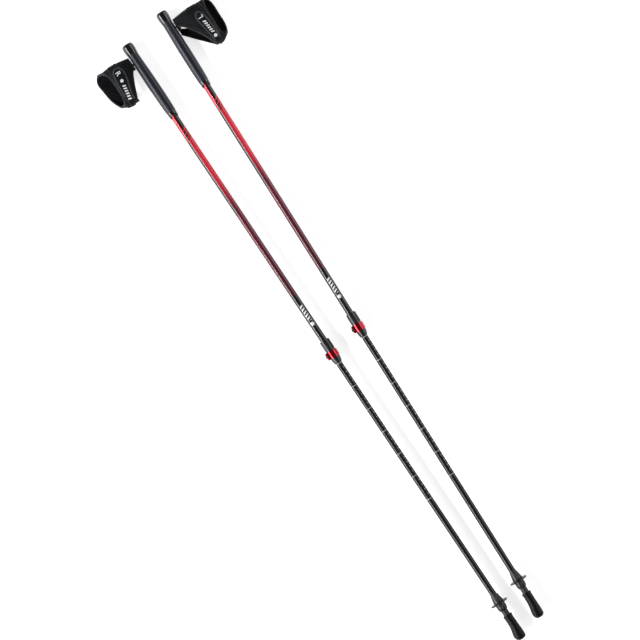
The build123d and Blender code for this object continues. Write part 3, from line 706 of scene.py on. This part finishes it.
class Cuff:
    """The fabric loop that goes round a hand. A place on it is a share of its girth, 0 at the top
    and growing towards the head end, a distance out from the pole, and a depth under its skin."""

    def __init__(self, pole, shape):
        self.pole = pole
        self.shape = shape
        start, end = shape["stations"]
        low, high = shape["heights"]
        angles = np.linspace(0, 2 * np.pi, LOOP_STEPS)
        power = 2 / LOOP_FLATNESS
        cos, sin = np.cos(angles), np.sin(angles)
        self.heights = (low + high) / 2 + (high - low) / 2 * np.sign(cos) * np.abs(cos) ** power
        self.stations = (start + end) / 2 - (end - start) / 2 * np.sign(sin) * np.abs(sin) ** power
        steps = np.hypot(np.diff(self.stations), np.diff(self.heights))
        run = np.concatenate([[0], np.cumsum(steps)])
        self.girth = run[-1]
        self.run = run / self.girth

    def rim(self, share, name):
        values = np.array(self.shape[name])
        places = RIM_PLACES
        ring = np.append(values, values[0])
        slopes = np.zeros(9)
        for k in range(9):
            before, after = (k - 1) % 8, (k + 1) % 8
            gap = (places[k % 8] - places[before]) % 1 + (places[after] - places[k % 8]) % 1
            slopes[k] = (values[after] - values[before]) / gap
        share = share % 1.0
        k = np.clip(np.searchsorted(places, share, side="right") - 1, 0, 7)
        width = places[k + 1] - places[k]
        t = (share - places[k]) / width
        return (
            ring[k] * (1 + 2 * t) * (1 - t) ** 2
            + slopes[k] * width * t * (1 - t) ** 2
            + ring[k + 1] * t * t * (3 - 2 * t)
            + slopes[k + 1] * width * t * t * (t - 1)
        )

    def section(self, share):
        """Station and height of the skin at a share of the girth, and its normal there."""
        share = share % 1.0
        here, ahead, behind = (
            np.array([np.interp(at, self.run, way) for way in (self.stations, self.heights)])
            for at in (share, (share + NORMAL_STEP) % 1.0, (share - NORMAL_STEP) % 1.0)
        )
        ds, dh = ahead - behind
        length = np.hypot(ds, dh)
        return *here, -dh / length, ds / length

    def wrinkle(self, share, out):
        """How far the skin moves in: a slack top, pulls from the plug, and small folds."""
        turn = 2 * np.pi * share
        from_top = ((share + 0.5) % 1.0) - 0.5
        slack = SLACK * np.exp(-((from_top / SLACK_WIDTH) ** 2)) * (0.6 + 0.4 * np.sin(out / 9.0))

        def wave(depth, waves, long, phase):
            return depth * np.sin(waves * turn + out / long + phase)

        folds = sum(wave(*fold) for fold in FOLDS)
        small = wave(*SMALL_FOLDS) * np.sin(out / 5.0)
        ends = np.exp(-(((np.abs(from_top) - 0.25) / END_WIDTH) ** 2))
        return slack + (folds + small) * (1 + END_FOLDS * ends) + 0.5

    def points(self, share, out, depth):
        share, out = np.broadcast_arrays(share, out)
        station, height, normal_s, normal_h = self.section(share)
        along = (station - np.mean(self.stations)) * normal_s / 40
        upward = (height - np.mean(self.heights)) * normal_h / 16
        flip = np.where(along + upward < 0, -1, 1)
        inward = depth + self.wrinkle(share, out)
        station = station - flip * normal_s * inward
        height = height - flip * normal_h * inward
        start, end = self.shape["stations"]
        taper_from, taper = self.shape["taper"]
        draw = taper * np.maximum(0.0, out - taper_from) ** 2
        station = station - draw * np.clip((station - start) / (end - start), 0.0, 1.0)
        return world_points(self.pole, out, station, height)


def world_points(pole, out, station, height):
    x, y, z, origin = map(np.array, (pole.x, pole.y, pole.z, pole.origin))
    out, station, height = (v[..., None] for v in np.broadcast_arrays(out, station, height))
    return origin + (x * (pole.side * out) - y * height - z * station) * MM


def grid_normals(grid, away):
    """Unit normals of a grid of points, on the side that its middle shows to a direction."""
    normals = unit(np.cross(np.gradient(grid, axis=0), np.gradient(grid, axis=1)))
    middle = normals[normals.shape[0] // 2, normals.shape[1] // 2]
    return -normals if middle @ away < 0 else normals


def cuff_shell(cuff, name):
    columns = int(cuff.girth / FABRIC_GRID)
    share = np.arange(columns) / columns
    inner_out, outer_out = cuff.rim(share, "finger_edge"), cuff.rim(share, "wrist_edge")
    rows = int(CUFF_DEPTH / FABRIC_GRID)
    steps = np.linspace(0, 1, rows)[:, None]
    out = inner_out + (outer_out - inner_out) * steps
    outer = cuff.points(share, out, 0.0)
    inner = cuff.points(share, out, SHELL_THICK)
    return shell(name, outer, inner, True)


def panel_grid(cuff, spec, height_at_plug):
    """A web from the plug that widens and then lies on the cuff."""
    first, last = spec["loop"]
    near_start, near_end = spec["near"]
    columns = int(abs(last - first) * cuff.girth / FABRIC_GRID) + 1
    b = np.linspace(0, 1, columns)
    share = first + (last - first) * b
    edge = cuff.rim(share, "finger_edge") + PANEL_LAP
    least, most = spec["reach"]
    reach = np.maximum(least + (most - least) * np.sin(np.pi * b) ** 0.6, edge + LEAST_REACH)
    near = near_start + (near_end - near_start) * b
    rows = []
    target = cuff.points(share, edge, -PANEL_LIFT)
    start = world_points(cuff.pole, WEB_START, near, height_at_plug)
    up = -np.array(cuff.pole.y)
    climb = (target - start) @ up
    for x in np.linspace(0, 1, WEB_ROWS, endpoint=False):
        rise = np.sin(x * np.pi / 2) ** WEB_TURN
        flat = start + (target - start) * x
        bow = spec["bow"] * np.sin(np.pi * x ** 0.8) * b ** 1.5 * MM
        flat = flat + np.array(cuff.pole.z) * bow[:, None]
        ripple = 0.45 * np.sin(9.0 * b + 2.5 * x) + 0.25 * np.sin(21.0 * b - 4.0 * x + 0.8)
        slack = np.sin(np.pi * x) * ripple * MM
        rows.append(flat + up * (climb * (rise - x) + slack)[:, None])
    for x in np.linspace(0, 1, LIE_ROWS):
        rows.append(cuff.points(share, edge + (reach - edge) * x, -PANEL_LIFT))
    return np.array(rows)


def panel(cuff, spec, name, height_at_plug):
    """A panel's object, its outer grid and that grid's normals."""
    under = panel_grid(cuff, spec, height_at_plug)
    normals = grid_normals(under, np.array(cuff.pole.y) * (-1 if height_at_plug > 0 else 1))
    over = under + normals * PANEL_THICK * MM
    return shell(name, over, under, False), over, normals


def surface_tree(thing):
    mesh = thing.data
    return BVHTree.FromPolygons([v.co for v in mesh.vertices], [list(p.vertices) for p in mesh.polygons])


def drop(tree, pole, out, station):
    """The place and normal where a plumb line over a strap point meets a surface."""
    start = pole.at(out, station, DROP_FROM)
    hit, normal, _, _ = tree.ray_cast(start, pole.y)
    if hit is None:
        hit, normal, _, _ = tree.find_nearest(pole.at(out, station, DROP_MISS))
    if normal.dot(pole.y) > 0:
        normal = -normal
    return np.array(hit), np.array(normal)


def dropped(tree, pole, path):
    places, normals = map(np.array, zip(*(drop(tree, pole, *point) for point in path)))
    for _ in range(3):
        places[1:-1] = (places[:-2] + 2 * places[1:-1] + places[2:]) / 4
    return places, unit(normals)


def letter_faces(text):
    """A flat letter from Blender's own font, as a triangle mesh centred on the origin."""
    curve = bpy.data.curves.new("Letter", "FONT")
    curve.body = text
    curve.size = LETTER_SIZE
    curve.offset = LETTER_SIZE * LETTER_BOLD
    curve.resolution_u = 3
    holder = linked("Letter", curve)
    bpy.context.view_layer.update()
    mesh = bpy.data.meshes.new_from_object(holder.evaluated_get(bpy.context.evaluated_depsgraph_get()))
    bpy.data.objects.remove(holder)
    bpy.data.curves.remove(curve)
    bm = bmesh.new()
    bm.from_mesh(mesh)
    bmesh.ops.remove_doubles(bm, verts=bm.verts, dist=1e-5)
    xs, ys = [v.co.x for v in bm.verts], [v.co.y for v in bm.verts]
    middle = Vector(((min(xs) + max(xs)) / 2, (min(ys) + max(ys)) / 2, 0))
    for v in bm.verts:
        v.co -= middle
    bm.verts.index_update()
    faces = ([v.co.to_2d() for v in bm.verts], [[v.index for v in f.verts] for f in bm.faces])
    bm.free()
    bpy.data.meshes.remove(mesh)
    return faces


def disc_faces():
    rings, sides = DOT_GRID
    points = [Vector((0, 0))]
    faces = []
    for ring in range(1, rings + 1):
        for side in range(sides):
            angle = 2 * math.pi * side / sides
            points.append(Vector((math.cos(angle), math.sin(angle))) * (DOT_R * ring / rings))
    for side in range(sides):
        after = (side + 1) % sides
        faces.append([0, 1 + side, 1 + after])
        for ring in range(1, rings):
            low, high = 1 + (ring - 1) * sides, 1 + ring * sides
            faces.append([low + side, high + side, high + after, low + after])
    return points, faces


def bar_faces():
    (width, height, slant), (columns, rows) = BAR, BAR_GRID
    points, faces = [], []
    for j in range(rows + 1):
        for i in range(columns + 1):
            y = (j / rows - 0.5) * height
            points.append(Vector(((i / columns - 0.5) * width + y * slant, y)))
    for j in range(rows):
        for i in range(columns):
            low = j * (columns + 1) + i
            faces.append([low, low + 1, low + columns + 2, low + columns + 1])
    return points, faces


def print_on(name, tree, pole, marks):
    """Raised rubber print. Each mark is (points, faces), its middle (out, station), and the way
    it reads along the pole: 1 towards the tip, -1 towards the head. Letters stand up to the pole."""
    vertices, faces = [], []
    for (points, mark_faces), (out, station), reads in marks:
        base = len(vertices)
        count = len(points)
        for level in (PRINT_THICK, -PRINT_SUNK):
            for point in points:
                place, normal = drop(tree, pole, out - point.y, station + reads * point.x)
                vertices.append(place + normal * level * MM)
        for face in mark_faces:
            faces.append([base + i for i in face])
            faces.append([base + count + i for i in reversed(face)])
        edges = dict.fromkeys(pair for face in mark_faces for pair in zip(face, face[1:] + face[:1]))
        for a, b in edges:
            if (b, a) not in edges:
                faces.append([base + b, base + a, base + count + a, base + count + b])
    thing = new_object(name, vertices, faces)
    thing.data.polygons.foreach_set("use_smooth", np.zeros(len(thing.data.polygons), bool))
    return fix_normals(thing)


class Strap:
    """The fabric pieces of one strap, which all ride on the strap's body."""

    def __init__(self, pole, looks):
        self.pole = pole
        self.hand = pole.hand
        self.looks = looks
        self.shape = STRAPS[pole.hand]
        self.cuff = Cuff(pole, self.shape)
        self.panels = {}
        self.trims = {"front": [], "back": []}

    def keep(self, thing, slot, *materials):
        for material in materials:
            thing.data.materials.append(self.looks[material])
        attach(thing, self.hand + "_strap")
        return thing

    def make_shell(self):
        thing = cuff_shell(self.cuff, self.hand + "_cuff_shell")
        self.shell = self.keep(thing, "strap_fabric", "knit", "lining")
        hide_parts(self.hand + "_strap_cuff")

    def make_panels(self):
        for label, height in (("front", WEB_HEIGHT), ("back", -WEB_HEIGHT)):
            self.panels[label] = panel(self.cuff, self.shape[label], f"{self.hand}_{label}_panel", height)
        for label, (thing, _, _) in self.panels.items():
            self.keep(thing, "strap_fabric", "panel", "knit")
            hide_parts(f"{self.hand}_strap_{label}_web")
        self.tree = surface_tree(self.panels["front"][0])

    def bind_rims(self):
        share = np.arange(RIM_STEPS) / RIM_STEPS
        for rim, sign in (("wrist", -1), ("finger", 1)):
            out = self.cuff.rim(share, rim + "_edge") + sign * RIM_INSET
            middle = self.cuff.points(share, out, SHELL_THICK / 2)
            skin = self.cuff.points(share, out, 0.0)
            thing = swept(f"{self.hand}_{rim}_binding", middle, skin - middle, RIM_TAPE, True)
            self.keep(thing, "strap_piping", "tape")

    def bind_panels(self):
        for label, (_, grid, normals) in self.panels.items():
            middle = grid - normals * (PANEL_THICK / 2 * MM)
            for edge, at in (("head", np.s_[:, 0]), ("tip", np.s_[:, -1]), ("end", np.s_[-1])):
                name = f"{self.hand}_{label}_{edge}_binding"
                thing = swept(name, middle[at], normals[at], EDGE_TAPE, False)
                self.trims[label].append(self.keep(thing, "strap_piping", "tape"))

    def sew(self):
        """The raised seam round the letter, and stitch rows beside it and beside the bindings."""
        path, normals = dropped(self.tree, self.pole, spline(self.shape["seam"], SEAM_STEP))
        seam = swept(self.hand + "_seam_0", path - normals * SEAM_SINK * MM, normals, SEAM_CORD, False)
        self.trims["front"].append(self.keep(seam, "strap_piping", "seam"))
        aside = np.cross(tangents(path, False), normals) * STITCH_ASIDE * MM
        rows = [(path - aside, normals), (path + aside, normals)]
        for _, grid, normals in self.panels.values():
            for column in (2, -3):
                rows.append((grid[2:-3, column], normals[2:-3, column]))
            rows.append((grid[-3, 3:-3], normals[-3, 3:-3]))
        share = np.arange(RIM_STEPS) / RIM_STEPS
        out = self.cuff.rim(share, "wrist_edge") - WRIST_STITCH
        skin = self.cuff.points(share, out, 0.0)
        rows.append((skin, unit(skin - self.cuff.points(share, out, 1.0))))
        self.keep(stitches(self.hand + "_stitching", rows), "strap_piping", "thread")

    def print_marks(self):
        """The hand's letter, a plain dot, and slanted bars."""
        letter = self.shape["letter"]
        marks = [(letter_faces(letter["text"]), letter["at"], letter["reads"])]
        marks.append((disc_faces(), self.shape["dot"], 1))
        start, end, out_start, out_end = self.shape["bars"]
        for i in range(BAR_COUNT):
            t = (i + 0.5) / BAR_COUNT
            middle = (out_start + (out_end - out_start) * t, start + (end - start) * t)
            marks.append((bar_faces(), middle, letter["reads"]))
        thing = print_on(self.hand + "_strap_print_marks", self.tree, self.pole, marks)
        self.trims["front"].append(self.keep(thing, "strap_print", "print"))

    def make_tab(self):
        """The closing tab, wrapped round the tip end."""
        tab = self.shape["tab"]
        share = np.linspace(*tab["loop"], TAB_GRID[0])
        outs = np.linspace(*tab["out"], TAB_GRID[1])
        under, over = (
            np.array([self.cuff.points(share, out, -lift) for out in outs]) for lift in (TAB_LIFT, TAB_TOP)
        )
        thing = shell(self.hand + "_closing_tab", over, under, False)
        self.tab = self.keep(thing, "strap_fabric", "panel", "pile")
        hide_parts(self.hand + "_strap_tab")

    def declare_sheets(self):
        for label, (thing, _, _) in self.panels.items():
            width, length, area = self.shape[label]["cut"]
            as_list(self.trims[label])

    def make(self):
        self.make_shell()
        self.make_panels()
        self.bind_rims()
        self.bind_panels()
        self.sew()
        self.print_marks()
        self.make_tab()
        self.declare_sheets()


LOOKS = {  # the function that makes it, its name, and what else the function takes
    "gloss": (plastic, "gloss_black", (0.004, 0.004, 0.005), 0.18, 0.7, 0.03, 0.6),
    "grip": (grip_soft, "grip_soft"),
    "core": (plastic, "core_plastic", (0.018, 0.018, 0.020), 0.5, 2.0, 0.08),
    "plug": (plastic, "plug_black", (0.006, 0.006, 0.007), 0.34, 1.8, 0.06),
    "steel": (steel, "spring_steel", 0.14, 0.26),
    "bolt": (steel, "dark_bolt", 0.02, 0.05),
    "carbide": (steel, "carbide", 0.22, 0.34),
    "upper": (shaft_print, "shaft_print"),
    "lower": (shaft_scale, "shaft_black"),
    "clamp": (plastic, "clamp_black", (0.008, 0.009, 0.011), 0.30, 1.6, 0.05, 0.2),
    "lever": (anodised, "lever_red", (0.40, 0.005, 0.018)),
    "basket": (plastic, "basket_black", (0.007, 0.007, 0.008), 0.36, 1.6, 0.07),
    "boot": (boot_rubber, "boot_rubber"),
    # the first colour of knit and panel_knit is the painted shade in the hollows between loops, the second the
    # loops' own colour
    "knit": (knit, "knit", (0.0015, 0.0015, 0.002), (0.008, 0.009, 0.011)),
    "panel": (knit, "panel_knit", (0.002, 0.003, 0.004), (0.010, 0.012, 0.016), 0.7, 0.10),
    "lining": (spacer_mesh, "lining"),
    # the first colour of the tape, seam and thread looks is the painted shade between the ribs, the second the
    # ribs' own colour
    "tape": (tape, "edge_tape", (0.006, 0.0065, 0.008), (0.060, 0.063, 0.072)),
    "seam": (tape, "raised_seam", (0.04, 0.042, 0.048), (0.26, 0.265, 0.28), 0.4, 0.05),
    "thread": (tape, "thread", (0.10, 0.10, 0.102), (0.34, 0.34, 0.345), 0.3, 0.05),
    "print": (rubber_print, "print"),
    "pile": (hook_pile, "pile"),
}
PARTS_OF_LOOK = {
    "gloss": "head_cap release_button grip_collar",
    "grip": "grip_cover",
    "core": "grip_core clamp_collet shaft_end_plug tip_ferrule",
    "plug": "strap_plug",
    "steel": "button_spring strap_pin boot_washer",
    "bolt": "lever_pin tension_bolt tension_washer tension_nut",
    "carbide": "carbide_tip",
    "upper": "upper_shaft",
    "lower": "lower_shaft",
    "clamp": "clamp_housing",
    "lever": "clamp_lever",
    "basket": "basket",
    "boot": "rubber_boot",
}


def paint_nodes(pole, looks):
    for look, parts in PARTS_OF_LOOK.items():
        for part in parts.split():
            materials = frame["nodes"][f"{pole.hand}_{part}"].data.materials
            materials.clear()
            materials.append(looks[look])


# ---- studio ----
CAMERA_TURN = math.radians(-32.98)
CAMERA_LENS = 135.0
SENSOR = 36.0
VIEW_WIDTH = 1.1763
VIEW_HEIGHT_OVER_FLOOR = 0.015
VIEW_MIDDLE = (-0.0200, 0.0295)
FLOOR_HALF = 6.0
FLOOR_GAP = 0.0001
FLOOR_GLOW = 0.82  # the floor is a light table, which leaves only faint shadows
WORLD_COLOUR = (0.95, 0.97, 1.0, 1.0)
WORLD_STRENGTH = 0.12
SOFTBOXES = (  # name, place, size in metres, watts
    ("Left_strip", (-2.3, 0.0, 1.7), (0.35, 3.6), 96.0),
    ("Left_wall", (-2.6, 0.0, 0.7), (1.2, 3.6), 30.0),
    ("Right_wall", (2.3, 0.0, 1.3), (1.2, 3.6), 34.0),
)


def make_camera():
    data = bpy.data.cameras.new("Camera")
    data.lens = CAMERA_LENS
    data.sensor_width = SENSOR
    data.clip_start, data.clip_end = 0.1, 50.0
    camera = linked("Camera", data)
    camera.location = (*VIEW_MIDDLE, VIEW_HEIGHT_OVER_FLOOR + VIEW_WIDTH * CAMERA_LENS / SENSOR)
    camera.rotation_euler = (0, 0, CAMERA_TURN)
    bpy.context.scene.camera = camera


def softbox(name, place, size, power):
    """A soft light that faces the middle of the floor, its long side along the poles."""
    data = bpy.data.lights.new(name, "AREA")
    data.shape = "RECTANGLE"
    data.size, data.size_y = size
    data.energy = power
    light = linked(name, data)
    light.location = place
    toward = -light.location.normalized()
    across = Vector((0, 1, 0)).cross(-toward).normalized()
    up = (-toward).cross(across)
    light.rotation_euler = Matrix((across, up, -toward)).transposed().to_euler()


def make_studio():
    corners = [(x, y, 0) for x, y in rectangle(-FLOOR_HALF, FLOOR_HALF, -FLOOR_HALF, FLOOR_HALF)]
    floor = new_object("Floor", corners, [[0, 1, 2, 3]])
    look = Look("Floor_paper")
    look.set(Specular_IOR_Level=0.2, Roughness=0.9, Emission_Strength=FLOOR_GLOW)
    grain = look.noise(look.add("TexCoord").outputs["Object"], 60.0, 4.0)
    tone = look.mix(grain, grey(0.86), grey(0.90))
    look.set(Base_Color=tone, Emission_Color=tone)
    floor.data.materials.append(look.material)
    floor.location.z = cad_bounds[0][2] - FLOOR_GAP
    world = bpy.data.worlds.new("Studio")
    world.use_nodes = True
    colour, strength = world.node_tree.nodes["Background"].inputs[:2]
    colour.default_value = WORLD_COLOUR
    strength.default_value = WORLD_STRENGTH
    bpy.context.scene.world = world
    for name, place, size, power in SOFTBOXES:
        softbox(name, place, size, power)
    view = bpy.context.scene.view_settings
    view.view_transform = "Standard"
    view.look = "None"


for the_pole in POLES.values():
    its_looks = {
        key: make(Look(f"{the_pole.hand}_{name}", the_pole), *values)
        for key, (make, name, *values) in LOOKS.items()
    }
    paint_nodes(the_pole, its_looks)
    Strap(the_pole, its_looks).make()
make_studio()
make_camera()
